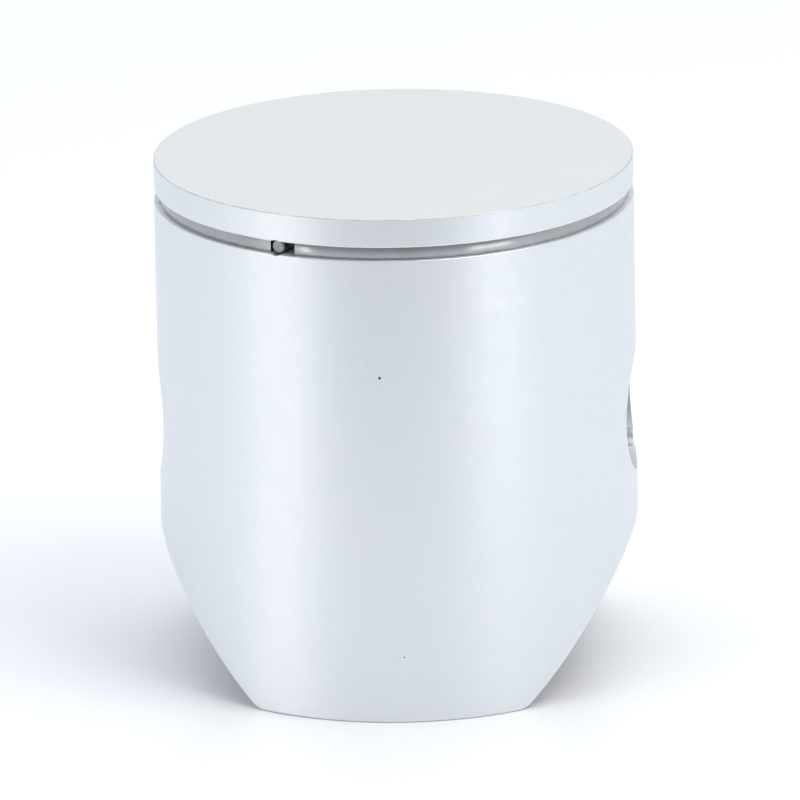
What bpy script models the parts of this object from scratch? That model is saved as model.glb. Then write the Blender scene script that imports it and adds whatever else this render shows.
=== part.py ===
"""Two-stroke piston set: piston, ring, ring pin, wrist pin, two wire clips and the small-end needle bearing.

Metres, +Z toward the crown, X along the wrist pin, origin on the floor under the middle of the skirt.
"""

import math

import bmesh
import bpy
from mathutils import Matrix, Vector

MM = 0.001

# Piston outside
HEIGHT = 51.64 * MM
SKIRT_R_BOTTOM = 24.0 * MM
SKIRT_R_TOP = 23.9 * MM
LAND_R = 23.85 * MM
CROWN_EDGE = 0.2 * MM
SKIRT_EDGE = 0.25 * MM

# Ring groove
GROOVE_TOP = 48.76 * MM
GROOVE_BOTTOM = 47.46 * MM
GROOVE_FLOOR_R = 21.2 * MM
GROOVE_EDGE = 0.15 * MM

# Piston inside
SKIRT_INNER_R = 21.5 * MM
SKIRT_INNER_TOP = 32.0 * MM
BELT_INNER_R = 18.6 * MM
BELT_START = 36.5 * MM
BELT_TOP = 42.5 * MM
CROWN_UNDERSIDE = 46.4 * MM
CROWN_FILLET_R = 14.6 * MM

# Wrist-pin bore and its bosses
PIN_AXIS_Z = 25.2 * MM
BORE_R = 6.0 * MM
BORE_MOUTH_R = 6.3 * MM
BORE_MOUTH_X = 22.4 * MM
BOSS_R = 9.7 * MM
BOSS_INNER_X = 9.5 * MM
BOSS_WEB_HALF = 7.4 * MM
BOSS_OIL_R = 1.0 * MM
BOSS_OIL_X = 14.5 * MM
CLIP_GROOVE_X = 20.3 * MM
CLIP_GROOVE_HALF = 0.58 * MM
CLIP_GROOVE_R = 6.76 * MM
PRY_NOTCH_R = 1.1 * MM
PRY_NOTCH_X = 19.35 * MM
PRY_NOTCH_TILT = math.radians(43.0)

# Arched cut-aways at the foot of the skirt
ARCH_TOP = 14.0 * MM
ARCH_HALF = 19.95 * MM
ARCH_EASE_Y = 19.65 * MM
ARCH_EASE_END = 20.40 * MM
ARCH_EASE_DIP = 0.05 * MM

# Ring-locating pin: angle from -Y, positive toward +X
RING_PIN_ANGLE = math.radians(-26.1)
RING_PIN_R = 0.7 * MM
RING_PIN_HOLE_R = 0.8 * MM
RING_PIN_INNER = 17.4 * MM
RING_PIN_OUTER = 23.35 * MM
RING_PIN_HOLE_END = 17.1 * MM

# Piston ring
RING_OUTER_R = 23.4 * MM
RING_INNER_R = 21.35 * MM
RING_HEIGHT = 1.2 * MM
RING_EDGE = 0.06 * MM
RING_SEAT = 0.02 * MM
RING_END_LEFT = math.radians(-28.08)
RING_END_RIGHT = math.radians(-21.6)

# Wrist pin
PIN_R = 5.95 * MM
PIN_HOLE_R = 3.75 * MM
PIN_HALF = 19.4 * MM
PIN_EDGE = 0.4 * MM

# Wire clips
CLIP_R = 6.2 * MM
CLIP_WIRE_R = 0.5 * MM
CLIP_GAP = math.radians(70.0)

# Needle bearing
NEEDLES = 14
NEEDLE_R = 0.75 * MM
NEEDLE_PITCH_R = 6.74 * MM
NEEDLE_HALF = 5.5 * MM
NEEDLE_EDGE = 0.15 * MM
CAGE_HALF = 7.5 * MM
CAGE_INNER_R = 6.2 * MM
CAGE_OUTER_R = 7.3 * MM
CAGE_EDGE = 0.12 * MM
SLOT_HALF = 5.75 * MM
SLOT_HALF_WIDTH = 0.81 * MM

# Facets round each turned shape
BODY_FACETS = 128
ARCH_STEPS = 36
BORE_FACETS = 72
RING_FACETS = 120
PIN_FACETS = 64
CAGE_FACETS = 84
SMALL_FACETS = 20
CLIP_STEPS = 40
WIRE_FACETS = 10
NEEDLE_FACETS = 18

# Turns a cutting shape by part of a facet, so that its edges never line up with the body's
CUT_PHASE = 0.37

Z_TO_X = Matrix.Rotation(math.radians(90.0), 4, "Y")
GROOVE_MID_Z = (GROOVE_TOP + GROOVE_BOTTOM) / 2
RING_MID_Z = GROOVE_BOTTOM + RING_SEAT + RING_HEIGHT / 2


def clear_scene():
    for obj in list(bpy.data.objects):
        bpy.data.objects.remove(obj, do_unlink=True)
    for mesh in list(bpy.data.meshes):
        bpy.data.meshes.remove(mesh)


def material(name, colour, metallic, roughness):
    mat = bpy.data.materials.new(name)
    mat.use_nodes = True
    mat.diffuse_color = (*colour, 1.0)
    shader = mat.node_tree.nodes["Principled BSDF"]
    shader.inputs["Base Color"].default_value = (*colour, 1.0)
    shader.inputs["Metallic"].default_value = metallic
    shader.inputs["Roughness"].default_value = roughness
    return mat


def to_object(name, bm, mat=None, smooth=True):
    bmesh.ops.recalc_face_normals(bm, faces=bm.faces)
    mesh = bpy.data.meshes.new(name)
    bm.to_mesh(mesh)
    bm.free()
    obj = bpy.data.objects.new(name, mesh)
    bpy.context.scene.collection.objects.link(obj)
    if mat:
        mesh.materials.append(mat)
    if smooth:
        shade(obj)
    return obj


def shade(obj, angle=math.radians(28.0)):
    """Smooth shading with the true corners kept sharp."""
    bm = bmesh.new()
    bm.from_mesh(obj.data)
    for face in bm.faces:
        face.smooth = True
    for edge in bm.edges:
        edge.smooth = len(edge.link_faces) == 2 and edge.calc_face_angle(0.0) < angle
    bm.to_mesh(obj.data)
    bm.free()


def lathe(profile, facets, phase=0.0):
    """Turns a closed (radius, height) outline about Z. Points on the axis become one vertex."""
    bm = bmesh.new()
    rings = []
    step = 2.0 * math.pi / facets
    angles = [(i + phase) * step for i in range(facets)]
    for radius, height in profile:
        if radius <= 0.0:
            rings.append([bm.verts.new((0.0, 0.0, height))])
            continue
        rings.append(
            [bm.verts.new((radius * math.cos(a), radius * math.sin(a), height)) for a in angles]
        )
    for lower, upper in zip(rings, rings[1:] + rings[:1]):
        if len(lower) == 1 and len(upper) == 1:
            continue
        for i in range(facets):
            j = (i + 1) % facets
            corners = [lower[i % len(lower)], lower[j % len(lower)]]
            corners += [upper[j % len(upper)], upper[i % len(upper)]]
            unique = list(dict.fromkeys(corners))
            bm.faces.new(unique)
    return bm


def prism(outline, start, end):
    """Extrudes a closed (y, z) outline along X."""
    bm = bmesh.new()
    near = [bm.verts.new((start, y, z)) for y, z in outline]
    far = [bm.verts.new((end, y, z)) for y, z in outline]
    bm.faces.new(near)
    bm.faces.new(list(reversed(far)))
    for i in range(len(outline)):
        j = (i + 1) % len(outline)
        bm.faces.new([near[i], far[i], far[j], near[j]])
    return bm


def move(bm, matrix):
    bmesh.ops.transform(bm, matrix=matrix, verts=bm.verts)
    return bm


def along_x(bm, x=0.0, y=0.0, z=PIN_AXIS_Z):
    return move(bm, Matrix.Translation((x, y, z)) @ Z_TO_X)


def rod(radius, start, end, facets):
    return lathe([(0.0, start), (radius, start), (radius, end), (0.0, end)], facets, CUT_PHASE)


def cut(obj, cutter, operation="DIFFERENCE"):
    """Applies one exact boolean and removes the cutter."""
    modifier = obj.modifiers.new("cut", "BOOLEAN")
    modifier.object = cutter
    modifier.operation = operation
    modifier.solver = "EXACT"
    graph = bpy.context.evaluated_depsgraph_get()
    mesh = bpy.data.meshes.new_from_object(obj.evaluated_get(graph))
    obj.modifiers.clear()
    old = obj.data
    obj.data = mesh
    bpy.data.meshes.remove(old)
    bpy.data.objects.remove(cutter, do_unlink=True)


def cutter(bm):
    return to_object("cutter", bm, smooth=False)


def angle_direction(angle):
    return Vector((math.sin(angle), -math.cos(angle), 0.0))


def outer_profile():
    return [
        (0.0, 0.0),
        (SKIRT_R_BOTTOM - SKIRT_EDGE, 0.0),
        (SKIRT_R_BOTTOM, SKIRT_EDGE),
        (SKIRT_R_TOP, GROOVE_BOTTOM - GROOVE_EDGE),
        (SKIRT_R_TOP - GROOVE_EDGE, GROOVE_BOTTOM),
        (GROOVE_FLOOR_R, GROOVE_BOTTOM),
        (GROOVE_FLOOR_R, GROOVE_TOP),
        (LAND_R - GROOVE_EDGE, GROOVE_TOP),
        (LAND_R, GROOVE_TOP + GROOVE_EDGE),
        (LAND_R, HEIGHT - CROWN_EDGE),
        (LAND_R - CROWN_EDGE, HEIGHT),
        (0.0, HEIGHT),
    ]


def fillet_profile(start, end, steps):
    """Quarter ellipse from a vertical wall at start to a flat roof at end."""
    (r0, z0), (r1, z1) = start, end
    points = []
    for i in range(1, steps):
        turn = math.radians(90.0) * i / steps
        points.append((r1 + (r0 - r1) * math.cos(turn), z0 + (z1 - z0) * math.sin(turn)))
    return points


def cavity_profile():
    below = -2.0 * MM
    wall_top = (BELT_INNER_R, BELT_TOP)
    roof = (CROWN_FILLET_R, CROWN_UNDERSIDE)
    return [
        (0.0, below),
        (SKIRT_INNER_R, below),
        (SKIRT_INNER_R, SKIRT_INNER_TOP),
        (BELT_INNER_R, BELT_START),
        wall_top,
        *fillet_profile(wall_top, roof, 6),
        roof,
        (0.0, CROWN_UNDERSIDE),
    ]


def boss_outline():
    """Round under the bore, carried up to the crown by a web as wide as the boss's shoulders."""
    lean = math.asin(BOSS_WEB_HALF / BOSS_R)
    sweep = 2.0 * (math.pi - lean)
    steps = 40
    outline = []
    for i in range(steps + 1):
        turn = lean + sweep * i / steps
        outline.append((BOSS_R * math.sin(turn), PIN_AXIS_Z + BOSS_R * math.cos(turn)))
    above = CROWN_UNDERSIDE + 1.0 * MM
    outline.append((-BOSS_WEB_HALF, above))
    outline.append((BOSS_WEB_HALF, above))
    return outline


def bore_profile(reach):
    """Wrist-pin bore with a clip groove near each end and a slightly wider mouth."""
    half = [
        (BORE_R, CLIP_GROOVE_X - CLIP_GROOVE_HALF),
        (CLIP_GROOVE_R, CLIP_GROOVE_X - CLIP_GROOVE_HALF),
        (CLIP_GROOVE_R, CLIP_GROOVE_X + CLIP_GROOVE_HALF),
        (BORE_R, CLIP_GROOVE_X + CLIP_GROOVE_HALF),
        (BORE_R, BORE_MOUTH_X),
        (BORE_MOUTH_R, BORE_MOUTH_X),
        (BORE_MOUTH_R, reach),
        (0.0, reach),
    ]
    return [(radius, -x) for radius, x in reversed(half)] + half


def arch_outline():
    """Parabola in (y, z), rolled outward at its foot to meet the flat of the skirt."""
    half = []
    for i in range(ARCH_STEPS + 1):
        y = ARCH_EASE_Y * i / ARCH_STEPS
        half.append((y, ARCH_TOP * (1.0 - (y / ARCH_HALF) ** 2)))
    start_y, start_z = half[-1]
    ease_steps = 4
    for i in range(1, ease_steps + 1):
        t = i / ease_steps
        y = start_y * (1 - t) ** 2 + ARCH_HALF * 2 * t * (1 - t) + ARCH_EASE_END * t**2
        half.append((y, start_z * (1 - t) ** 2 - ARCH_EASE_DIP * t**2))
    half.append((ARCH_EASE_END, -1.0 * MM))
    return [(-y, z) for y, z in reversed(half[1:])] + half


def pry_notch(side, reach):
    """Half-round slot beside the bore, for getting a clip out."""
    notch = rod(PRY_NOTCH_R, PRY_NOTCH_X, reach, SMALL_FACETS)
    y = BORE_R * math.sin(PRY_NOTCH_TILT)
    z = PIN_AXIS_Z - BORE_R * math.cos(PRY_NOTCH_TILT)
    notch = along_x(notch, y=y, z=z)
    if side < 0.0:
        bmesh.ops.scale(notch, vec=(-1.0, 1.0, 1.0), verts=notch.verts)
    return notch


def build_body(mat):
    cavity = cutter(lathe(cavity_profile(), BODY_FACETS, CUT_PHASE))
    beyond = SKIRT_R_BOTTOM + 2.0 * MM
    for side in (-1.0, 1.0):
        boss = cutter(prism(boss_outline(), side * BOSS_INNER_X, side * beyond))
        cut(cavity, boss)

    body = to_object("piston_body", lathe(outer_profile(), BODY_FACETS), mat, smooth=False)
    cut(body, cavity)

    cut(body, cutter(along_x(lathe(bore_profile(beyond), BORE_FACETS, CUT_PHASE))))
    for side in (-1.0, 1.0):
        cut(body, cutter(pry_notch(side, beyond)))
        oil_hole = rod(BOSS_OIL_R, PIN_AXIS_Z - BOSS_R - 1.0 * MM, PIN_AXIS_Z, SMALL_FACETS)
        cut(body, cutter(move(oil_hole, Matrix.Translation((side * BOSS_OIL_X, 0.0, 0.0)))))

    cut(body, cutter(prism(arch_outline(), -beyond, beyond)))

    pin_hole = rod(RING_PIN_HOLE_R, RING_PIN_HOLE_END, beyond, SMALL_FACETS)
    cut(body, cutter(radial(pin_hole)))
    shade(body)
    return body


def radial(bm):
    """Lays a shape built along Z out along the ring pin's radius."""
    direction = angle_direction(RING_PIN_ANGLE)
    turn = direction.to_track_quat("Z", "Y").to_matrix().to_4x4()
    return move(bm, Matrix.Translation((0.0, 0.0, GROOVE_MID_Z)) @ turn)


def build_ring_pin(mat):
    edge = 0.12 * MM
    outline = [
        (0.0, RING_PIN_INNER),
        (RING_PIN_R, RING_PIN_INNER),
        (RING_PIN_R, RING_PIN_OUTER - edge),
        (RING_PIN_R - edge, RING_PIN_OUTER),
        (0.0, RING_PIN_OUTER),
    ]
    return to_object("ring_locating_pin", radial(lathe(outline, SMALL_FACETS)), mat)


def swept(section, path, closed=False):
    """Skins a closed section carried along a list of frames; open sweeps get flat ends."""
    bm = bmesh.new()
    rings = [[bm.verts.new(frame(point)) for point in section] for frame in path]
    count = len(section)
    pairs = list(zip(rings, rings[1:]))
    if closed:
        pairs.append((rings[-1], rings[0]))
    for first, second in pairs:
        for i in range(count):
            j = (i + 1) % count
            bm.faces.new([first[i], first[j], second[j], second[i]])
    if not closed:
        bm.faces.new(rings[0])
        bm.faces.new(list(reversed(rings[-1])))
    return bm


def build_ring(mat):
    low = -RING_HEIGHT / 2
    high = RING_HEIGHT / 2
    section = [
        (RING_INNER_R, low),
        (RING_OUTER_R - RING_EDGE, low),
        (RING_OUTER_R, low + RING_EDGE),
        (RING_OUTER_R, high - RING_EDGE),
        (RING_OUTER_R - RING_EDGE, high),
        (RING_INNER_R, high),
    ]

    def frame_at(angle):
        direction = angle_direction(angle)
        return lambda point: direction * point[0] + Vector((0.0, 0.0, point[1]))

    span = 2.0 * math.pi - (RING_END_RIGHT - RING_END_LEFT)
    path = [frame_at(RING_END_RIGHT + span * i / RING_FACETS) for i in range(RING_FACETS + 1)]
    ring = to_object("piston_ring", swept(section, path), mat)
    ring.location = (0.0, 0.0, RING_MID_Z)
    return ring


def build_wrist_pin(mat):
    outline = [
        (PIN_HOLE_R + PIN_EDGE, -PIN_HALF),
        (PIN_R - PIN_EDGE, -PIN_HALF),
        (PIN_R, -PIN_HALF + PIN_EDGE),
        (PIN_R, PIN_HALF - PIN_EDGE),
        (PIN_R - PIN_EDGE, PIN_HALF),
        (PIN_HOLE_R + PIN_EDGE, PIN_HALF),
        (PIN_HOLE_R, PIN_HALF - PIN_EDGE),
        (PIN_HOLE_R, -PIN_HALF + PIN_EDGE),
    ]
    pin = to_object("wrist_pin", move(lathe(outline, PIN_FACETS), Z_TO_X), mat)
    pin.location = (0.0, 0.0, PIN_AXIS_Z)
    return pin


def build_clip(name, side, mat):
    """Round wire bent to an open ring, its gap facing the skirt's foot."""
    section = []
    for i in range(WIRE_FACETS):
        turn = 2.0 * math.pi * i / WIRE_FACETS
        section.append((CLIP_WIRE_R * math.cos(turn), CLIP_WIRE_R * math.sin(turn)))

    def frame_at(angle):
        outward = Vector((0.0, math.sin(angle), -math.cos(angle)))
        return lambda point: outward * (CLIP_R + point[0]) + Vector((point[1], 0.0, 0.0))

    start = CLIP_GAP / 2
    span = 2.0 * math.pi - CLIP_GAP
    path = [frame_at(start + span * i / CLIP_STEPS) for i in range(CLIP_STEPS + 1)]
    clip = to_object(name, swept(section, path), mat)
    clip.location = (side * CLIP_GROOVE_X, 0.0, PIN_AXIS_Z)
    return clip


def needle_centre(index):
    angle = 2.0 * math.pi * index / NEEDLES
    return Vector((0.0, NEEDLE_PITCH_R * math.sin(angle), NEEDLE_PITCH_R * math.cos(angle)))


def build_cage(mat):
    outline = [
        (CAGE_INNER_R, -CAGE_HALF),
        (CAGE_OUTER_R - CAGE_EDGE, -CAGE_HALF),
        (CAGE_OUTER_R, -CAGE_HALF + CAGE_EDGE),
        (CAGE_OUTER_R, CAGE_HALF - CAGE_EDGE),
        (CAGE_OUTER_R - CAGE_EDGE, CAGE_HALF),
        (CAGE_INNER_R, CAGE_HALF),
    ]
    cage = to_object("bearing_cage", move(lathe(outline, CAGE_FACETS), Z_TO_X), mat, smooth=False)
    reach = 3.0 * MM
    for index in range(NEEDLES):
        slot = bmesh.new()
        bmesh.ops.create_cube(slot, size=2.0)
        scale = Matrix.Diagonal((SLOT_HALF, SLOT_HALF_WIDTH, reach, 1.0))
        turn = Matrix.Rotation(-2.0 * math.pi * index / NEEDLES, 4, "X")
        place = turn @ Matrix.Translation((0.0, 0.0, NEEDLE_PITCH_R)) @ scale
        cut(cage, cutter(move(slot, place)))
    shade(cage)
    cage.location = (0.0, 0.0, PIN_AXIS_Z)
    return cage


def build_needle(index, mat):
    outline = [
        (0.0, -NEEDLE_HALF),
        (NEEDLE_R - NEEDLE_EDGE, -NEEDLE_HALF),
        (NEEDLE_R, -NEEDLE_HALF + NEEDLE_EDGE),
        (NEEDLE_R, NEEDLE_HALF - NEEDLE_EDGE),
        (NEEDLE_R - NEEDLE_EDGE, NEEDLE_HALF),
        (0.0, NEEDLE_HALF),
    ]
    name = f"needle_{index + 1:02d}"
    needle = to_object(name, move(lathe(outline, NEEDLE_FACETS), Z_TO_X), mat)
    needle.location = needle_centre(index) + Vector((0.0, 0.0, PIN_AXIS_Z))
    return needle


def main():
    clear_scene()
    aluminium = material("blasted_aluminium", (0.80, 0.81, 0.83), 1.0, 0.45)
    pin_steel = material("pin_steel", (0.35, 0.36, 0.37), 1.0, 0.35)
    ring_steel = material("ring_steel", (0.52, 0.53, 0.55), 1.0, 0.22)
    ground_steel = material("ground_steel", (0.62, 0.63, 0.65), 1.0, 0.15)
    wire_steel = material("wire_steel", (0.30, 0.30, 0.31), 1.0, 0.32)
    cage_steel = material("cage_steel", (0.45, 0.43, 0.40), 1.0, 0.40)
    needle_steel = material("needle_steel", (0.70, 0.71, 0.73), 1.0, 0.12)

    build_body(aluminium)
    build_ring_pin(pin_steel)
    build_ring(ring_steel)
    build_wrist_pin(ground_steel)
    build_clip("circlip_left", -1.0, wire_steel)
    build_clip("circlip_right", 1.0, wire_steel)
    build_cage(cage_steel)
    for index in range(NEEDLES):
        build_needle(index, needle_steel)


main()
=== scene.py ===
import math

import bmesh
import bpy
from mathutils import Matrix, Vector


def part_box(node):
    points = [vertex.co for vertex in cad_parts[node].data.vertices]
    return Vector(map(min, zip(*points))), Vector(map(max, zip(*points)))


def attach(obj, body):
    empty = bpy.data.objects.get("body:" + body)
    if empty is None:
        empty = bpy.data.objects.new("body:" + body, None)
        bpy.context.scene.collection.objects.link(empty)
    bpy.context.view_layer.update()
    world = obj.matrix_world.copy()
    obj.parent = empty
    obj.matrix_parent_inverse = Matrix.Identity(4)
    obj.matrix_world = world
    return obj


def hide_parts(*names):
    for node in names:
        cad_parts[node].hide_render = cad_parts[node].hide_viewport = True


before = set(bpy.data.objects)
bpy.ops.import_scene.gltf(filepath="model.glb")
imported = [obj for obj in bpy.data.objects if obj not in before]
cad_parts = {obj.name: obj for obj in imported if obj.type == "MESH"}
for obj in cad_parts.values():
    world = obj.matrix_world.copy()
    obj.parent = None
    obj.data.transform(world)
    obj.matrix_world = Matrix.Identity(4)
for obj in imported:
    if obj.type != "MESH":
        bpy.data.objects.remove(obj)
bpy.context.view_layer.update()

MM = 0.001
TAU = 2.0 * math.pi

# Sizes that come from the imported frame
_, BODY_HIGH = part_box("piston_body")
RING_LOW, RING_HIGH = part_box("piston_ring")
PIN_LOW, PIN_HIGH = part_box("wrist_pin")
CLIP_LOW, CLIP_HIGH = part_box("circlip_right")
_, CAGE_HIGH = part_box("bearing_cage")
NEEDLE_LOW, NEEDLE_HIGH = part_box("needle_01")

HEIGHT = BODY_HIGH.z
SKIRT_R = BODY_HIGH.y
SKIRT_NARROWING = 0.1 * MM
LAND_STEP = 0.15 * MM
SKIRT_TOP_R = SKIRT_R - SKIRT_NARROWING
LAND_R = SKIRT_R - LAND_STEP
AXIS_Z = (PIN_LOW.z + PIN_HIGH.z) / 2

# Ring groove: the ring lies close to the lower ledge, with most of its room above it
ROOM_ABOVE_RING = 0.08 * MM
ROOM_BELOW_RING = 0.02 * MM
GROOVE_TOP = RING_HIGH.z + ROOM_ABOVE_RING
GROOVE_BOTTOM = RING_LOW.z - ROOM_BELOW_RING
GROOVE_FLOOR_R = 21.2 * MM
SKIRT_TAPER = (SKIRT_R - SKIRT_TOP_R) / GROOVE_BOTTOM
LAND_EDGE = 0.16 * MM
SHOULDER_EDGE = 0.13 * MM
GROOVE_CORNER = 0.10 * MM
GROOVE_MID_Z = (GROOVE_TOP + GROOVE_BOTTOM) / 2
CROWN_EDGE = 0.11 * MM
SKIRT_EDGE = 0.22 * MM
SKIRT_ROW_SHARES = (0.36, 0.6, 0.85)
CROWN_ROWS = (18.0 * MM, 9.0 * MM)

# Inside of the piston
SKIRT_INNER_R = 21.5 * MM
SKIRT_INNER_TOP = 32.0 * MM
BELT_INNER_R = 18.6 * MM
BELT_START = 36.5 * MM
BELT_TOP = 42.5 * MM
CROWN_UNDERSIDE = 46.4 * MM
CROWN_FILLET_R = 14.6 * MM
CROWN_FILLET_STEPS = 8
CROWN_UNDERSIDE_ROW = 7.0 * MM
BORE_R = 6.0 * MM
BORE_MOUTH_R = 6.3 * MM
BORE_MOUTH_X = 22.4 * MM
BOSS_R = 9.7 * MM
BOSS_INNER_X = 9.5 * MM
BOSS_OUTER_X = 21.65 * MM
BOSS_WEB_HALF = 7.4 * MM
BOSS_EDGE = 0.35 * MM
BOSS_STEPS = 120
BOSS_ABOVE_CROWN = 1.0 * MM
BOSS_OIL_R = 1.0 * MM
BOSS_OIL_X = 14.5 * MM
CLIP_X = (CLIP_LOW.x + CLIP_HIGH.x) / 2
CLIP_GROOVE_HALF = 0.58 * MM
CLIP_GROOVE_R = 6.76 * MM
PRY_NOTCH_R = 1.1 * MM
PRY_NOTCH_X = 19.35 * MM
PRY_NOTCH_TILT = math.radians(43.0)

# Arched cut-aways at the foot of the skirt
ARCH_TOP = 14.0 * MM
ARCH_HALF = 19.95 * MM
ARCH_CORNER = 0.5 * MM

# Ring-locating pin: angle from -Y, positive toward +X
RING_PIN_ANGLE = math.radians(-26.1)
RING_PIN_R = 0.7 * MM
RING_PIN_HOLE_R = 0.8 * MM
RING_PIN_INNER = 17.4 * MM
RING_PIN_OUTER = 23.35 * MM
RING_PIN_HOLE_END = 17.1 * MM
RING_PIN_EDGE = 0.2 * MM

# Piston ring
RING_OUTER_R = RING_HIGH.y
RING_INNER_R = 21.35 * MM
RING_EDGE = 0.07 * MM
RING_END_LEFT = math.radians(-28.08)
RING_END_RIGHT = math.radians(-21.6)
RING_STEPS = 400

# Wrist pin, clips, bearing
PIN_R = (PIN_HIGH.z - PIN_LOW.z) / 2
PIN_HALF = PIN_HIGH.x
PIN_HOLE_R = 3.75 * MM
PIN_EDGE = 0.4 * MM
CLIP_WIRE_R = (CLIP_HIGH.x - CLIP_LOW.x) / 2
CLIP_R = CLIP_HIGH.y - CLIP_WIRE_R
CLIP_GAP = math.radians(70.0)
CLIP_TIP = 0.45 * CLIP_WIRE_R
CLIP_TIP_SHAPE = ((0.0, 0.55), (0.35, 0.83), (1.0, 1.0))
CLIP_STEPS = 180
WIRE_FACETS = 28
NEEDLES = 14
NEEDLE_R = (NEEDLE_HIGH.z - NEEDLE_LOW.z) / 2
NEEDLE_PITCH_R = (NEEDLE_LOW.z + NEEDLE_HIGH.z) / 2 - AXIS_Z
NEEDLE_HALF = NEEDLE_HIGH.x
NEEDLE_EDGE = 0.15 * MM
CAGE_HALF = CAGE_HIGH.x
CAGE_OUTER_R = 7.3 * MM
CAGE_INNER_R = 6.2 * MM
CAGE_EDGE = 0.12 * MM
SLOT_HALF = 5.75 * MM
SLOT_HALF_WIDTH = 0.81 * MM
SLOT_REACH = 3.0 * MM
SLOT_CORNER = 0.18 * MM

# Small pits in the skirt's front: angle, height and radius of each
PIT_DEPTH = 0.3 * MM
PITS = (
    (math.radians(-1.04), 35.58 * MM, 0.13 * MM),
    (math.radians(3.6), 6.8 * MM, 0.07 * MM),
)

# Facets
BODY_COLUMNS = 480
ARC_STEPS = 4
CUT_FACETS = 192
CUT_PHASE = 0.37
SMALL_FACETS = 64
CAGE_FACETS = 280
NEEDLE_FACETS = 48
SMALL_ARC_STEPS = 3
BEVEL_SEGMENTS = 3
SMOOTH_LIMIT = math.radians(25.0)

# How far boolean tools reach past the surface they cut, and how exactly a point has to lie on a surface
CUT_PAST = 2.0 * MM
ON_SURFACE = 0.003 * MM

# The body's material slots
SKIRT, CROWN, GROOVE, CAST, BORED, PIT, CORNER = range(7)

Z_TO_X = Matrix.Rotation(math.radians(90.0), 4, "Y")


# ---------------------------------------------------------------- mesh tools


def to_object(name, bm):
    bmesh.ops.recalc_face_normals(bm, faces=bm.faces)
    mesh = bpy.data.meshes.new(name)
    bm.to_mesh(mesh)
    bm.free()
    obj = bpy.data.objects.new(name, mesh)
    bpy.context.scene.collection.objects.link(obj)
    shade(obj)
    return obj


def shade(obj):
    """Smooth shading, with edges sharper than the limit kept sharp."""
    bm = bmesh.new()
    bm.from_mesh(obj.data)
    for face in bm.faces:
        face.smooth = True
    for edge in bm.edges:
        edge.smooth = len(edge.link_faces) == 2 and edge.calc_face_angle(0.0) < SMOOTH_LIMIT
    bm.to_mesh(obj.data)
    bm.free()


def arc(centre, radius, start, end, steps=ARC_STEPS):
    """Points of a round edge in (radius, height), angles in degrees from outward, both ends included."""
    points = []
    for i in range(steps + 1):
        turn = math.radians(start + (end - start) * i / steps)
        points.append((centre[0] + radius * math.cos(turn), centre[1] + radius * math.sin(turn)))
    return points


def lathe(profile, facets, phase=0.0):
    """Turns a closed (radius, height) outline about Z. Points on the axis become one vertex."""
    bm = bmesh.new()
    angles = [(i + phase) * TAU / facets for i in range(facets)]
    rings = []
    for radius, height in profile:
        if radius <= 0.0:
            rings.append([bm.verts.new((0.0, 0.0, height))])
        else:
            rings.append(
                [bm.verts.new((radius * math.cos(a), radius * math.sin(a), height)) for a in angles]
            )
    skin(bm, rings, closed=True)
    return bm


def skin(bm, rings, closed=False):
    """Joins neighbouring rings of vertices; a ring of one vertex is a pole."""
    pairs = list(zip(rings, rings[1:]))
    if closed:
        pairs.append((rings[-1], rings[0]))
    for lower, upper in pairs:
        count = max(len(lower), len(upper))
        if count == 1:
            continue
        for i in range(count):
            j = (i + 1) % count
            corners = [lower[i % len(lower)], lower[j % len(lower)]]
            corners += [upper[j % len(upper)], upper[i % len(upper)]]
            bm.faces.new(list(dict.fromkeys(corners)))


def swept(section, path):
    """Carries a closed section along a path with flat ends; each step of the path places a section point."""
    bm = bmesh.new()
    rings = [[bm.verts.new(frame_at(point)) for point in section] for frame_at in path]
    skin(bm, rings)
    bm.faces.new(rings[0])
    bm.faces.new(list(reversed(rings[-1])))
    return bm


def prism(outline, start, end):
    """Extrudes a closed (y, z) outline along X."""
    bm = bmesh.new()
    near = [bm.verts.new((start, y, z)) for y, z in outline]
    far = [bm.verts.new((end, y, z)) for y, z in outline]
    skin(bm, [near, far])
    bm.faces.new(near)
    bm.faces.new(list(reversed(far)))
    return bm


def bevel(bm, edges, width):
    bmesh.ops.bevel(
        bm, geom=edges, offset=width, segments=BEVEL_SEGMENTS, affect="EDGES", profile=0.5
    )


def move(bm, matrix):
    bmesh.ops.transform(bm, matrix=matrix, verts=bm.verts)
    return bm


def along_x(bm, x=0.0, y=0.0, z=0.0):
    return move(bm, Matrix.Translation((x, y, z)) @ Z_TO_X)


def rod(radius, start, end, facets):
    return lathe([(0.0, start), (radius, start), (radius, end), (0.0, end)], facets, CUT_PHASE)


def combine(obj, tool_bm, operation="DIFFERENCE"):
    """Applies one exact boolean with a mesh that is then thrown away."""
    tool = to_object("tool", tool_bm)
    modifier = obj.modifiers.new("combine", "BOOLEAN")
    modifier.object = tool
    modifier.operation = operation
    modifier.solver = "EXACT"
    graph = bpy.context.evaluated_depsgraph_get()
    mesh = bpy.data.meshes.new_from_object(obj.evaluated_get(graph))
    obj.modifiers.clear()
    old = obj.data
    obj.data = mesh
    bpy.data.meshes.remove(old)
    bpy.data.objects.remove(tool, do_unlink=True)


def direction_at(angle):
    """Outward direction at an angle from -Y, positive toward +X."""
    return Vector((math.sin(angle), -math.cos(angle), 0.0))


# ---------------------------------------------------------------- materials


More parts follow.
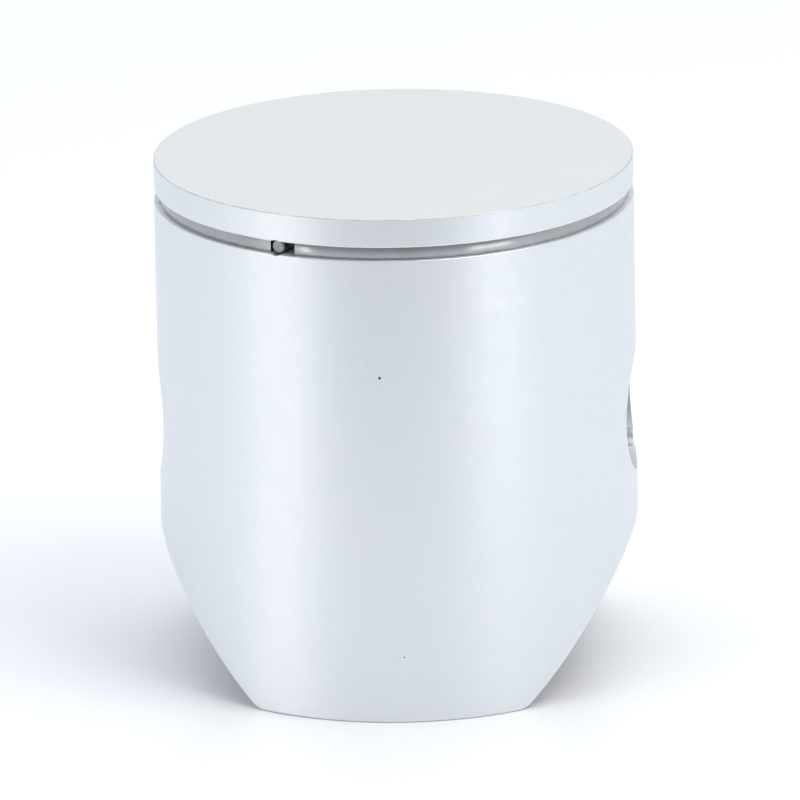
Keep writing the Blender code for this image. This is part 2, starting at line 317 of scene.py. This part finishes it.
class Finish:
    """A Principled material with helpers for procedural detail in the piece's own coordinates."""

    def __init__(self, name, colour, metallic, roughness):
        self.material = bpy.data.materials.new(name)
        self.material.use_nodes = True
        self.tree = self.material.node_tree
        self.shader = self.tree.nodes["Principled BSDF"]
        self.shader.inputs["Base Color"].default_value = (*colour, 1.0)
        self.shader.inputs["Metallic"].default_value = metallic
        self.shader.inputs["Roughness"].default_value = roughness
        self.material.diffuse_color = (*colour, 1.0)
        self.place = self.node("ShaderNodeTexCoord").outputs["Object"]

    def node(self, kind, **settings):
        made = self.tree.nodes.new(kind)
        for key, value in settings.items():
            setattr(made, key, value)
        return made

    def link(self, source, target):
        self.tree.links.new(source, target)

    def set(self, target, value):
        if isinstance(value, bpy.types.NodeSocket):
            self.link(value, target)
        else:
            target.default_value = value

    def noise(self, size, detail=4.0, rough=0.55, stretch=(1.0, 1.0, 1.0)):
        """Noise whose features are about size metres, stretched along each axis."""
        scaled = self.node("ShaderNodeVectorMath", operation="MULTIPLY")
        self.link(self.place, scaled.inputs[0])
        scaled.inputs[1].default_value = tuple(1.0 / (size * s) for s in stretch)
        made = self.node("ShaderNodeTexNoise")
        made.inputs["Scale"].default_value = 1.0
        made.inputs["Detail"].default_value = detail
        made.inputs["Roughness"].default_value = rough
        self.link(scaled.outputs[0], made.inputs["Vector"])
        return made.outputs["Fac"]

    def math(self, operation, a, b=0.0, c=0.0):
        made = self.node("ShaderNodeMath", operation=operation)
        self.set(made.inputs[0], a)
        self.set(made.inputs[1], b)
        self.set(made.inputs[2], c)
        return made.outputs[0]

    def ramp(self, value, low, high, to_low, to_high):
        made = self.node("ShaderNodeMapRange")
        self.set(made.inputs["Value"], value)
        made.inputs["From Min"].default_value = low
        made.inputs["From Max"].default_value = high
        made.inputs["To Min"].default_value = to_low
        made.inputs["To Max"].default_value = to_high
        return made.outputs["Result"]

    def mix(self, factor, a, b):
        made = self.node("ShaderNodeMix", data_type="RGBA")
        self.set(made.inputs["Factor"], factor)
        self.set(made.inputs[6], (*a, 1.0) if isinstance(a, tuple) else a)
        self.set(made.inputs[7], (*b, 1.0) if isinstance(b, tuple) else b)
        return made.outputs[2]

    def split(self):
        made = self.node("ShaderNodeSeparateXYZ")
        self.link(self.place, made.inputs[0])
        return made.outputs

    def radius(self, a, b):
        squares = self.math("ADD", self.math("MULTIPLY", a, a), self.math("MULTIPLY", b, b))
        return self.math("SQRT", squares)

    def rings(self, along, pitch, wander):
        """Tool marks of a given pitch along a coordinate, their spacing disturbed by wander."""
        phase = self.math("MULTIPLY", along, TAU / pitch)
        phase = self.math("ADD", phase, self.math("MULTIPLY", wander, 6.0))
        return self.math("SINE", phase)

    def bump(self, height, distance, after=None):
        made = self.node("ShaderNodeBump")
        made.inputs["Strength"].default_value = 1.0
        made.inputs["Distance"].default_value = distance
        self.link(height, made.inputs["Height"])
        if after is not None:
            self.link(after, made.inputs["Normal"])
        return made.outputs["Normal"]

    def colour(self, socket):
        self.link(socket, self.shader.inputs["Base Color"])

    def rough(self, socket):
        self.link(socket, self.shader.inputs["Roughness"])

    def normal(self, socket):
        self.link(socket, self.shader.inputs["Normal"])


def blasted_finish(name, colour, other, roughness):
    """Fine blasted aluminium with faint cloudy patches."""
    f = Finish(name, colour, 1.0, roughness)
    clouds = f.noise(9.0 * MM, detail=3.0)
    specks = f.noise(0.32 * MM, detail=3.0, rough=0.6)
    tint = f.mix(f.ramp(clouds, 0.35, 0.65, 0.0, 1.0), colour, other)
    dark = tuple(0.9 * c for c in colour)
    f.colour(f.mix(f.ramp(specks, 0.56, 0.80, 0.0, 0.5), tint, dark))
    f.rough(f.ramp(f.noise(1.6 * MM, detail=4.0), 0.3, 0.7, roughness - 0.03, roughness + 0.03))
    grain = f.bump(specks, 0.006 * MM)
    return f, grain


def skirt_finish():
    f, grain = blasted_finish("skirt_blasted", (0.755, 0.775, 0.80), (0.74, 0.77, 0.79), 0.42)
    _, _, z = f.split()
    marks = f.rings(z, 0.22 * MM, f.noise(6.0 * MM, detail=2.0))
    f.normal(f.bump(marks, 0.0006 * MM, after=grain))
    return f.material


def crown_finish():
    f, grain = blasted_finish("crown_blasted", (0.80, 0.795, 0.775), (0.78, 0.79, 0.765), 0.52)
    x, y, _ = f.split()
    marks = f.rings(f.radius(x, y), 0.18 * MM, f.noise(8.0 * MM, detail=2.0))
    f.normal(f.bump(marks, 0.0005 * MM, after=grain))
    return f.material


def machined_finish(name, colour, roughness, pitch, depth, axis):
    """Bright turned metal, with tool marks along Z or along X."""
    f = Finish(name, colour, 1.0, roughness)
    x, y, z = f.split()
    along = z if axis == "Z" else x
    stretch = (1.0, 1.0, 0.04) if axis == "Z" else (0.04, 1.0, 1.0)
    wander = f.noise(3.0 * MM, detail=2.0)
    streaks = f.noise(1.2 * MM, detail=5.0, stretch=stretch)
    dark = tuple(0.86 * c for c in colour)
    f.colour(f.mix(f.ramp(streaks, 0.3, 0.7, 0.0, 1.0), colour, dark))
    f.rough(f.ramp(streaks, 0.3, 0.7, roughness * 0.8, roughness * 1.25))
    marks = f.math("ADD", f.rings(along, pitch, wander), f.math("MULTIPLY", streaks, 2.0))
    f.normal(f.bump(marks, depth))
    return f.material


def cast_finish():
    """As-cast aluminium inside the skirt: pebbled and duller."""
    f = Finish("cavity_cast", (0.78, 0.79, 0.81), 1.0, 0.58)
    pebbles = f.noise(0.7 * MM, detail=5.0, rough=0.6)
    stains = f.noise(7.0 * MM, detail=4.0)
    f.colour(f.mix(f.ramp(stains, 0.35, 0.7, 0.0, 1.0), (0.79, 0.80, 0.82), (0.68, 0.69, 0.71)))
    f.rough(f.ramp(stains, 0.3, 0.7, 0.5, 0.66))
    f.normal(f.bump(pebbles, 0.05 * MM))
    return f.material


def pit_shade_finish():
    """Painted shade at the bottom of a casting pit: near-black for the shade inside the small hole."""
    f = Finish("pit_painted_shade", (0.12, 0.12, 0.13), 0.6, 0.7)
    pit_mottle = f.noise(0.06 * MM, detail=3.0)
    f.colour(f.mix(f.ramp(pit_mottle, 0.3, 0.7, 0.0, 1.0), (0.09, 0.09, 0.10), (0.20, 0.20, 0.21)))
    f.normal(f.bump(pit_mottle, 0.02 * MM))
    return f.material


def steel_finish(name, colour, roughness, axis, scratch=0.0012 * MM):
    """Ground or drawn steel: fine lines round the piece, with faint discoloured patches."""
    f = Finish(name, colour, 1.0, roughness)
    stretch = {"X": (0.05, 1.0, 1.0), "Z": (1.0, 1.0, 0.05)}[axis]
    lines = f.noise(0.9 * MM, detail=6.0, rough=0.65, stretch=stretch)
    patches = f.noise(4.0 * MM, detail=3.0)
    dark = tuple(0.82 * c for c in colour)
    warm = (colour[0] * 1.02, colour[1] * 0.99, colour[2] * 0.95)
    base = f.mix(f.ramp(patches, 0.4, 0.65, 0.0, 1.0), colour, warm)
    f.colour(f.mix(f.ramp(lines, 0.5, 0.8, 0.0, 0.8), base, dark))
    f.rough(f.ramp(lines, 0.25, 0.75, roughness * 0.75, roughness * 1.3))
    f.normal(f.bump(lines, scratch))
    return f.material


def ring_finish():
    """Steel lapped round the ring: darker than the piston and almost a mirror."""
    f = Finish("ring_lapped", (0.38, 0.39, 0.40), 1.0, 0.16)
    lines = f.noise(0.5 * MM, detail=6.0, rough=0.65, stretch=(1.0, 1.0, 0.06))
    patches = f.noise(3.0 * MM, detail=3.0)
    base = f.mix(f.ramp(patches, 0.4, 0.65, 0.0, 1.0), (0.39, 0.40, 0.41), (0.35, 0.36, 0.355))
    f.colour(f.mix(f.ramp(lines, 0.45, 0.8, 0.0, 0.7), base, (0.27, 0.275, 0.28)))
    f.rough(f.ramp(lines, 0.25, 0.75, 0.13, 0.20))
    f.normal(f.bump(lines, 0.0008 * MM))
    return f.material


def corner_shade_finish():
    """The crown's rounded corner in painted shade: darker than the faces it joins, which dims its highlight to
    a faint dark line, and duller.
    """
    f = Finish("crown_corner_painted_shade", (0.66, 0.69, 0.66), 1.0, 0.6)
    corner_mottle = f.noise(1.8 * MM, detail=4.0)
    f.colour(f.mix(f.ramp(corner_mottle, 0.35, 0.65, 0.0, 1.0), (0.70, 0.73, 0.70), (0.58, 0.61, 0.59)))
    f.rough(f.ramp(corner_mottle, 0.3, 0.7, 0.52, 0.66))
    f.normal(f.bump(f.noise(0.3 * MM, detail=3.0), 0.004 * MM))
    return f.material


# ---------------------------------------------------------------- piston


def foot_height(radius, angle):
    """Lower edge of the skirt: flat feet, with the arch between them and a rounded corner where they meet."""
    across = radius * math.sin(angle)
    arch = ARCH_TOP * (1.0 - (across / ARCH_HALF) ** 2)
    corner = max(ARCH_CORNER - abs(arch), 0.0) / ARCH_CORNER
    return max(arch, 0.0) + corner * corner * ARCH_CORNER / 4.0


def cavity_rows():
    """From the pole under the crown down the wall to the foot: radius, height, whether it follows the foot."""
    rows = [(0.0, CROWN_UNDERSIDE, False), (CROWN_UNDERSIDE_ROW, CROWN_UNDERSIDE, False)]
    for i in range(CROWN_FILLET_STEPS + 1):
        turn = math.radians(90.0) * (1.0 - i / CROWN_FILLET_STEPS)
        radius = CROWN_FILLET_R + (BELT_INNER_R - CROWN_FILLET_R) * math.cos(turn)
        rows.append((radius, BELT_TOP + (CROWN_UNDERSIDE - BELT_TOP) * math.sin(turn), False))
    rows.append((BELT_INNER_R, BELT_START, False))
    rows.append((SKIRT_INNER_R, SKIRT_INNER_TOP, False))
    rows.append((SKIRT_INNER_R, SKIRT_INNER_TOP / 2, False))
    edge = arc((SKIRT_INNER_R + SKIRT_EDGE, SKIRT_EDGE), SKIRT_EDGE, 180.0, 270.0)
    rows += [(radius, height, True) for radius, height in edge]
    return rows


def outside_rows():
    """The same from the foot up the skirt, round the groove and over the crown to its pole."""
    edge = arc((SKIRT_R - SKIRT_EDGE, SKIRT_EDGE), SKIRT_EDGE, -90.0, 0.0)
    rows = [((SKIRT_INNER_R + SKIRT_R) / 2, 0.0, True)]
    rows += [(radius, height, True) for radius, height in edge]
    points = []
    for share in SKIRT_ROW_SHARES:
        points.append((SKIRT_R + (SKIRT_TOP_R - SKIRT_R) * share, GROOVE_BOTTOM * share))
    points += arc((SKIRT_TOP_R - SHOULDER_EDGE, GROOVE_BOTTOM - SHOULDER_EDGE), SHOULDER_EDGE, 0.0, 90.0)
    inner = GROOVE_FLOOR_R + GROOVE_CORNER
    points += arc((inner, GROOVE_BOTTOM + GROOVE_CORNER), GROOVE_CORNER, 270.0, 180.0)
    points += arc((inner, GROOVE_TOP - GROOVE_CORNER), GROOVE_CORNER, 180.0, 90.0)
    points += arc((LAND_R - LAND_EDGE, GROOVE_TOP + LAND_EDGE), LAND_EDGE, -90.0, 0.0)
    points += arc((LAND_R - CROWN_EDGE, HEIGHT - CROWN_EDGE), CROWN_EDGE, 0.0, 90.0)
    points += [(radius, HEIGHT) for radius in (*CROWN_ROWS, 0.0)]
    return rows + [(radius, height, False) for radius, height in points]


def body_shell():
    bm = bmesh.new()
    angles = [(i + 0.5) * TAU / BODY_COLUMNS for i in range(BODY_COLUMNS)]
    rings = []
    for radius, height, on_foot in cavity_rows() + outside_rows():
        if radius <= 0.0:
            rings.append([bm.verts.new((0.0, 0.0, height))])
            continue
        ring = []
        for a in angles:
            lift = foot_height(radius, a) if on_foot else 0.0
            r = radius - SKIRT_TAPER * lift if radius > SKIRT_INNER_R + SKIRT_EDGE else radius
            ring.append(bm.verts.new((r * math.cos(a), r * math.sin(a), height + lift)))
        rings.append(ring)
    skin(bm, rings)
    return bm


def boss(side):
    """One wrist-pin boss with its web up to the crown, its inner face's rim eased."""
    lean = math.asin(BOSS_WEB_HALF / BOSS_R)
    sweep = TAU - 2.0 * lean
    outline = []
    for i in range(BOSS_STEPS + 1):
        turn = lean + sweep * i / BOSS_STEPS
        outline.append((BOSS_R * math.sin(turn), AXIS_Z + BOSS_R * math.cos(turn)))
    above = CROWN_UNDERSIDE + BOSS_ABOVE_CROWN
    outline += [(-BOSS_WEB_HALF, above), (BOSS_WEB_HALF, above)]
    bm = prism(outline, side * BOSS_INNER_X, side * BOSS_OUTER_X)
    rim = [e for e in bm.edges if all(abs(abs(v.co.x) - BOSS_INNER_X) < 1e-6 for v in e.verts)]
    rim = [e for e in rim if min(v.co.z for v in e.verts) < above - 0.1 * MM]
    bevel(bm, rim, BOSS_EDGE)
    return bm


def bore_tool(reach):
    half = [
        (BORE_R, CLIP_X - CLIP_GROOVE_HALF),
        (CLIP_GROOVE_R, CLIP_X - CLIP_GROOVE_HALF),
        (CLIP_GROOVE_R, CLIP_X + CLIP_GROOVE_HALF),
        (BORE_R, CLIP_X + CLIP_GROOVE_HALF),
        (BORE_R, BORE_MOUTH_X),
        (BORE_MOUTH_R, BORE_MOUTH_X),
        (BORE_MOUTH_R, reach),
        (0.0, reach),
    ]
    profile = [(radius, -x) for radius, x in reversed(half)] + half
    return along_x(lathe(profile, CUT_FACETS, CUT_PHASE), z=AXIS_Z)


def pry_notch(side, reach):
    notch = rod(PRY_NOTCH_R, PRY_NOTCH_X, reach, SMALL_FACETS)
    y = BORE_R * math.sin(PRY_NOTCH_TILT)
    z = AXIS_Z - BORE_R * math.cos(PRY_NOTCH_TILT)
    notch = along_x(notch, y=y, z=z)
    if side < 0.0:
        bmesh.ops.scale(notch, vec=(-1.0, 1.0, 1.0), verts=notch.verts)
    return notch


def radial(bm, angle, height):
    """Lays a shape built along Z out along a radius of the piston."""
    turn = direction_at(angle).to_track_quat("Z", "Y").to_matrix().to_4x4()
    return move(bm, Matrix.Translation((0.0, 0.0, height)) @ turn)


def body_face_slot(centre, normal):
    """Which of the body's finishes a face takes."""
    radius = math.hypot(centre.x, centre.y)
    if centre.z > HEIGHT - 0.002 * MM:
        return CROWN
    # The crown's rounded corner takes the painted shade finish.
    if centre.z > HEIGHT - CROWN_EDGE and 0.1 < normal.z < 0.99:
        return CORNER
    in_groove = GROOVE_BOTTOM - 0.01 * MM < centre.z < GROOVE_TOP + 0.01 * MM
    if in_groove and 0.0 < radius < LAND_R - 0.1 * MM:
        return GROOVE
    from_axis = math.hypot(centre.y, centre.z - AXIS_Z)
    if from_axis < BORE_MOUTH_R + 0.05 * MM and abs(centre.x) > BORE_MOUTH_X - 0.02 * MM:
        return SKIRT
    if from_axis < CLIP_GROOVE_R + 0.05 * MM:
        return BORED
    # Faces inside the pits take the near-black painted shade.
    for angle, height, _ in PITS:
        bottom = direction_at(angle) * (SKIRT_R - PIT_DEPTH) + Vector((0.0, 0.0, height))
        if (centre - bottom).length < 2.0 * PIT_DEPTH and radius < SKIRT_TOP_R - 0.01 * MM:
            return PIT
    if abs(abs(centre.x) - BOSS_INNER_X) < 0.01 * MM:
        return BORED
    if radius > SKIRT_INNER_R + 0.05 * MM:
        return SKIRT
    return CAST


def wall_radius(z):
    """Outer radius at a height: the tapered skirt, then the land above the groove."""
    return LAND_R if z > GROOVE_MID_Z else SKIRT_R - SKIRT_TAPER * z


def true_normals(mesh):
    """Gives the turned walls and the flat crown the normals of the true surface; zero keeps a loop's own."""
    normals = [(0.0, 0.0, 0.0)] * len(mesh.loops)
    up = Vector((0.0, 0.0, 1.0))
    for face in mesh.polygons:
        if face.material_index == CROWN:
            for loop in face.loop_indices:
                normals[loop] = up
            continue
        corners = [mesh.vertices[v].co for v in face.vertices]
        radii = [math.hypot(corner.x, corner.y) for corner in corners]
        walls = [wall_radius(corner.z) for corner in corners]
        outside = all(abs(radius - wall) < ON_SURFACE for radius, wall in zip(radii, walls))
        inside = all(abs(radius - SKIRT_INNER_R) < ON_SURFACE for radius in radii)
        if not outside and not inside:
            continue
        for loop in face.loop_indices:
            corner = mesh.vertices[mesh.loops[loop].vertex_index].co
            normal = Vector((corner.x, corner.y, 0.0)).normalized()
            normals[loop] = normal if outside else -normal
    mesh.normals_split_custom_set(normals)


def build_body():
    reach = SKIRT_R + CUT_PAST
    body = to_object("piston_shell", body_shell())
    for side in (-1.0, 1.0):
        combine(body, boss(side), "UNION")
    combine(body, bore_tool(reach))
    for side in (-1.0, 1.0):
        combine(body, pry_notch(side, reach))
        oil = rod(BOSS_OIL_R, AXIS_Z - BOSS_R - 1.0 * MM, AXIS_Z, SMALL_FACETS)
        combine(body, move(oil, Matrix.Translation((side * BOSS_OIL_X, 0.0, 0.0))))
    pin_hole = rod(RING_PIN_HOLE_R, RING_PIN_HOLE_END, reach, SMALL_FACETS)
    combine(body, radial(pin_hole, RING_PIN_ANGLE, GROOVE_MID_Z))
    for angle, height, radius in PITS:
        pit = rod(radius, SKIRT_R - PIT_DEPTH, reach, SMALL_FACETS)
        combine(body, radial(pit, angle, height))
    shade(body)
    groove = machined_finish("groove_turned", (0.88, 0.89, 0.91), 0.60, 0.12 * MM, 0.0008 * MM, "Z")
    bored = machined_finish("bore_bored", (0.88, 0.89, 0.91), 0.50, 0.15 * MM, 0.0010 * MM, "X")
    finishes = (skirt_finish(), crown_finish(), groove, cast_finish(), bored, pit_shade_finish(), corner_shade_finish())
    for material in finishes:
        body.data.materials.append(material)
    for face in body.data.polygons:
        face.material_index = body_face_slot(face.center, face.normal)
    true_normals(body.data)
    return place(body, "piston", "piston_body")


def place(obj, body, node):
    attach(obj, body)
    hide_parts(node)
    return obj


def build_ring_pin():
    edge = RING_PIN_EDGE
    profile = [(0.0, RING_PIN_INNER), (RING_PIN_R, RING_PIN_INNER)]
    profile += arc((RING_PIN_R - edge, RING_PIN_OUTER - edge), edge, 0.0, 90.0)
    profile.append((0.0, RING_PIN_OUTER))
    pin = to_object("ring_peg", radial(lathe(profile, SMALL_FACETS), RING_PIN_ANGLE, GROOVE_MID_Z))
    pin.data.materials.append(steel_finish("peg_steel", (0.27, 0.29, 0.28), 0.36, "Z"))
    return place(pin, "piston", "ring_locating_pin")


def build_ring():
    low = RING_LOW.z - GROOVE_MID_Z
    high = RING_HIGH.z - GROOVE_MID_Z
    outer = RING_OUTER_R - RING_EDGE
    inner = RING_INNER_R + RING_EDGE
    section = arc((outer, low + RING_EDGE), RING_EDGE, -90.0, 0.0, SMALL_ARC_STEPS)
    section += arc((outer, high - RING_EDGE), RING_EDGE, 0.0, 90.0, SMALL_ARC_STEPS)
    section += arc((inner, high - RING_EDGE), RING_EDGE, 90.0, 180.0, SMALL_ARC_STEPS)
    section += arc((inner, low + RING_EDGE), RING_EDGE, 180.0, 270.0, SMALL_ARC_STEPS)

    def frame_at(angle):
        direction = direction_at(angle)
        return lambda point: direction * point[0] + Vector((0.0, 0.0, point[1]))

    span = TAU - (RING_END_RIGHT - RING_END_LEFT)
    path = [frame_at(RING_END_RIGHT + span * i / RING_STEPS) for i in range(RING_STEPS + 1)]
    ring = to_object("ring_band", swept(section, path))
    ring.location = (0.0, 0.0, GROOVE_MID_Z)
    ring.data.materials.append(ring_finish())
    return place(ring, "ring", "piston_ring")


def tube_profile(inner_r, outer_r, half, edge, steps):
    """Outline of a tube's wall, its four edges rounded."""
    inner = inner_r + edge
    outer = outer_r - edge
    profile = arc((inner, -half + edge), edge, 180.0, 270.0, steps)
    profile += arc((outer, -half + edge), edge, -90.0, 0.0, steps)
    profile += arc((outer, half - edge), edge, 0.0, 90.0, steps)
    profile += arc((inner, half - edge), edge, 90.0, 180.0, steps)
    return profile


def build_wrist_pin():
    profile = tube_profile(PIN_HOLE_R, PIN_R, PIN_HALF, PIN_EDGE, ARC_STEPS)
    pin = to_object("gudgeon_tube", move(lathe(profile, CUT_FACETS), Z_TO_X))
    pin.location = (0.0, 0.0, AXIS_Z)
    pin.data.materials.append(steel_finish("pin_ground", (0.62, 0.63, 0.65), 0.18, "X"))
    return place(pin, "pin", "wrist_pin")


def build_clip(side):
    turns = [TAU * i / WIRE_FACETS for i in range(WIRE_FACETS)]
    section = [(CLIP_WIRE_R * math.cos(turn), CLIP_WIRE_R * math.sin(turn)) for turn in turns]

    def frame_at(angle, share):
        outward = Vector((0.0, math.sin(angle), -math.cos(angle)))
        return lambda p: outward * (CLIP_R + p[0] * share) + Vector((p[1] * share, 0.0, 0.0))

    start = CLIP_GAP / 2
    end = TAU - start
    path = [frame_at(start + CLIP_TIP * t / CLIP_R, share) for t, share in CLIP_TIP_SHAPE]
    first = start + CLIP_TIP / CLIP_R
    last = end - CLIP_TIP / CLIP_R
    path += [frame_at(first + (last - first) * i / CLIP_STEPS, 1.0) for i in range(1, CLIP_STEPS)]
    path += [frame_at(end - CLIP_TIP * t / CLIP_R, share) for t, share in reversed(CLIP_TIP_SHAPE)]
    word = "left" if side < 0.0 else "right"
    clip = to_object(f"wire_clip_{word}", swept(section, path))
    clip.location = (side * CLIP_X, 0.0, AXIS_Z)
    clip.data.materials.append(steel_finish(f"clip_wire_{word}", (0.36, 0.36, 0.37), 0.3, "X"))
    return place(clip, "piston", f"circlip_{word}")


def slot_tool():
    """All the cage's slots as one mesh, each a box with eased upright corners."""
    tool = bmesh.new()
    for index in range(NEEDLES):
        slot = bmesh.new()
        bmesh.ops.create_cube(slot, size=2.0)
        move(slot, Matrix.Diagonal((SLOT_HALF, SLOT_HALF_WIDTH, SLOT_REACH, 1.0)))
        upright = [e for e in slot.edges if abs(e.verts[0].co.z - e.verts[1].co.z) > SLOT_REACH]
        bevel(slot, upright, SLOT_CORNER)
        turn = Matrix.Rotation(-TAU * index / NEEDLES, 4, "X")
        move(slot, turn @ Matrix.Translation((0.0, 0.0, NEEDLE_PITCH_R)))
        mesh = bpy.data.meshes.new("slot")
        slot.to_mesh(mesh)
        slot.free()
        tool.from_mesh(mesh)
        bpy.data.meshes.remove(mesh)
    return tool


def build_cage():
    profile = tube_profile(CAGE_INNER_R, CAGE_OUTER_R, CAGE_HALF, CAGE_EDGE, SMALL_ARC_STEPS)
    cage = to_object("needle_cage", move(lathe(profile, CAGE_FACETS), Z_TO_X))
    combine(cage, slot_tool())
    shade(cage)
    cage.location = (0.0, 0.0, AXIS_Z)
    cage.data.materials.append(steel_finish("cage_pressed", (0.50, 0.47, 0.42), 0.34, "X"))
    return place(cage, "cage", "bearing_cage")


def build_needles():
    material = steel_finish("needle_polished", (0.72, 0.73, 0.75), 0.1, "X", 0.0004 * MM)
    edge = NEEDLE_EDGE
    profile = [(0.0, -NEEDLE_HALF)]
    profile += arc((NEEDLE_R - edge, -NEEDLE_HALF + edge), edge, -90.0, 0.0)
    profile += arc((NEEDLE_R - edge, NEEDLE_HALF - edge), edge, 0.0, 90.0)
    profile.append((0.0, NEEDLE_HALF))
    for index in range(NEEDLES):
        number = f"{index + 1:02d}"
        angle = TAU * index / NEEDLES
        needle = to_object(f"roller_needle_{number}", move(lathe(profile, NEEDLE_FACETS), Z_TO_X))
        y = NEEDLE_PITCH_R * math.sin(angle)
        needle.location = (0.0, y, AXIS_Z + NEEDLE_PITCH_R * math.cos(angle))
        needle.data.materials.append(material)
        place(needle, f"roller_{number}", f"needle_{number}")


# ---------------------------------------------------------------- studio

VIEW_AZIMUTH = math.radians(3.1)
VIEW_ELEVATION = math.radians(17.27)
VIEW_ROLL = -0.018
VIEW_DISTANCE = 962.85 * MM
VIEW_TARGET = Vector((0.0, 0.0, 27.0 * MM))
VIEW_LENS = 432.46
VIEW_SHIFT = (0.00319, -0.01336)
SENSOR_WIDTH = 36.0
NEAREST_SEEN = 0.05

# Table top: half its side, and where along Y it turns from grey to white
FLOOR_HALF = 4.0
FLOOR_GREY_Y = -0.28
FLOOR_WHITE_Y = -0.08
FLOOR_ROUGHNESS = 0.35

# Room light
WORLD_FRONT = 0.54
WORLD_BACK = 1.00
WORLD_ZENITH = 1.08
WORLD_COLOUR = (0.885, 0.93, 1.0)
LAMP_COLOUR = (1.0, 0.965, 0.915)
FLOOR_NEAR = (0.93, 0.93, 0.935)
FLOOR_FAR = (0.50, 0.50, 0.505)
WHITE = (1.0, 1.0, 1.0)
LIGHT_TARGET_Z = 25.0 * MM

# Name, azimuth and elevation in degrees, distance, width, height, power and colour of each lamp
LAMPS = (
    ("box_right", 58.0, 54.0, 0.60, 0.30, 0.33, 1.16, LAMP_COLOUR),
    ("box_left", -56.0, 12.0, 0.60, 0.20, 0.22, 0.40, LAMP_COLOUR),
    ("card_right", 47.0, -4.0, 0.145, 0.050, 0.020, 0.0042, WHITE),
    ("card_left", -38.0, -3.5, 0.148, 0.010, 0.028, 0.0020, WHITE),
    ("box_top", 90.0, 86.0, 0.80, 0.60, 0.60, 0.80, LAMP_COLOUR),
)


def build_camera():
    data = bpy.data.cameras.new("camera")
    data.lens = VIEW_LENS
    data.sensor_width = SENSOR_WIDTH
    data.shift_x, data.shift_y = VIEW_SHIFT
    data.clip_start = NEAREST_SEEN
    camera = bpy.data.objects.new("camera", data)
    bpy.context.scene.collection.objects.link(camera)
    flat = math.cos(VIEW_ELEVATION)
    back = Vector(
        (math.sin(VIEW_AZIMUTH) * flat, -math.cos(VIEW_AZIMUTH) * flat, math.sin(VIEW_ELEVATION))
    )
    right = Vector((0.0, 0.0, 1.0)).cross(back).normalized()
    up = back.cross(right)
    tilted_right = right * math.cos(VIEW_ROLL) + up * math.sin(VIEW_ROLL)
    tilted_up = up * math.cos(VIEW_ROLL) - right * math.sin(VIEW_ROLL)
    turn = Matrix((tilted_right, tilted_up, back)).transposed().to_4x4()
    camera.matrix_world = Matrix.Translation(VIEW_TARGET + back * VIEW_DISTANCE) @ turn
    bpy.context.scene.camera = camera


def softbox(name, azimuth, elevation, distance, width, height, power, colour):
    """Area light facing the object; azimuth from -Y toward +X."""
    data = bpy.data.lights.new(name, "AREA")
    data.shape = "RECTANGLE"
    data.size = width
    data.size_y = height
    data.energy = power
    data.color = colour
    light = bpy.data.objects.new(name, data)
    bpy.context.scene.collection.objects.link(light)
    a = math.radians(azimuth)
    e = math.radians(elevation)
    toward = Vector((math.sin(a) * math.cos(e), -math.cos(a) * math.cos(e), math.sin(e)))
    light.location = Vector((0.0, 0.0, LIGHT_TARGET_Z)) + toward * distance
    light.rotation_euler = toward.to_track_quat("Z", "Y").to_euler()


def build_floor():
    """White table top that turns grey well in front of the object."""
    bm = bmesh.new()
    bmesh.ops.create_grid(bm, x_segments=2, y_segments=2, size=FLOOR_HALF)
    floor = to_object("studio_floor", bm)
    f = Finish("floor_white", FLOOR_NEAR, 0.0, FLOOR_ROUGHNESS)
    _, y, _ = f.split()
    wander = f.math("MULTIPLY", f.noise(0.2, detail=2.0), 0.04)
    reach = f.ramp(f.math("ADD", y, wander), FLOOR_GREY_Y, FLOOR_WHITE_Y, 1.0, 0.0)
    f.colour(f.mix(reach, FLOOR_NEAR, FLOOR_FAR))
    floor.data.materials.append(f.material)


def build_world():
    """Soft room light: dim on the camera's side, bright at the back and a little more so overhead."""
    world = bpy.data.worlds.new("studio")
    bpy.context.scene.world = world
    world.use_nodes = True
    nodes = world.node_tree.nodes
    links = world.node_tree.links
    split = nodes.new("ShaderNodeSeparateXYZ")
    links.new(nodes.new("ShaderNodeTexCoord").outputs["Generated"], split.inputs[0])

    def ramp(value, low, high, to_low, to_high):
        made = nodes.new("ShaderNodeMapRange")
        made.interpolation_type = "SMOOTHSTEP"
        links.new(value, made.inputs["Value"])
        made.inputs["From Min"].default_value = low
        made.inputs["From Max"].default_value = high
        made.inputs["To Min"].default_value = to_low
        made.inputs["To Max"].default_value = to_high
        return made.outputs["Result"]

    strength = nodes.new("ShaderNodeMath")
    strength.operation = "MULTIPLY"
    links.new(ramp(split.outputs[1], -1.0, 0.1, WORLD_FRONT, WORLD_BACK), strength.inputs[0])
    links.new(ramp(split.outputs[2], 0.25, 0.9, 1.0, WORLD_ZENITH), strength.inputs[1])
    background = nodes["Background"]
    background.inputs["Color"].default_value = (*WORLD_COLOUR, 1.0)
    links.new(strength.outputs[0], background.inputs["Strength"])


def build_light():
    build_world()
    for lamp in LAMPS:
        softbox(*lamp)
    bpy.context.scene.view_settings.view_transform = "Standard"


def main():
    build_body()
    build_ring_pin()
    build_ring()
    build_wrist_pin()
    build_clip(-1.0)
    build_clip(1.0)
    build_cage()
    build_needles()
    build_floor()
    build_light()
    build_camera()


main()
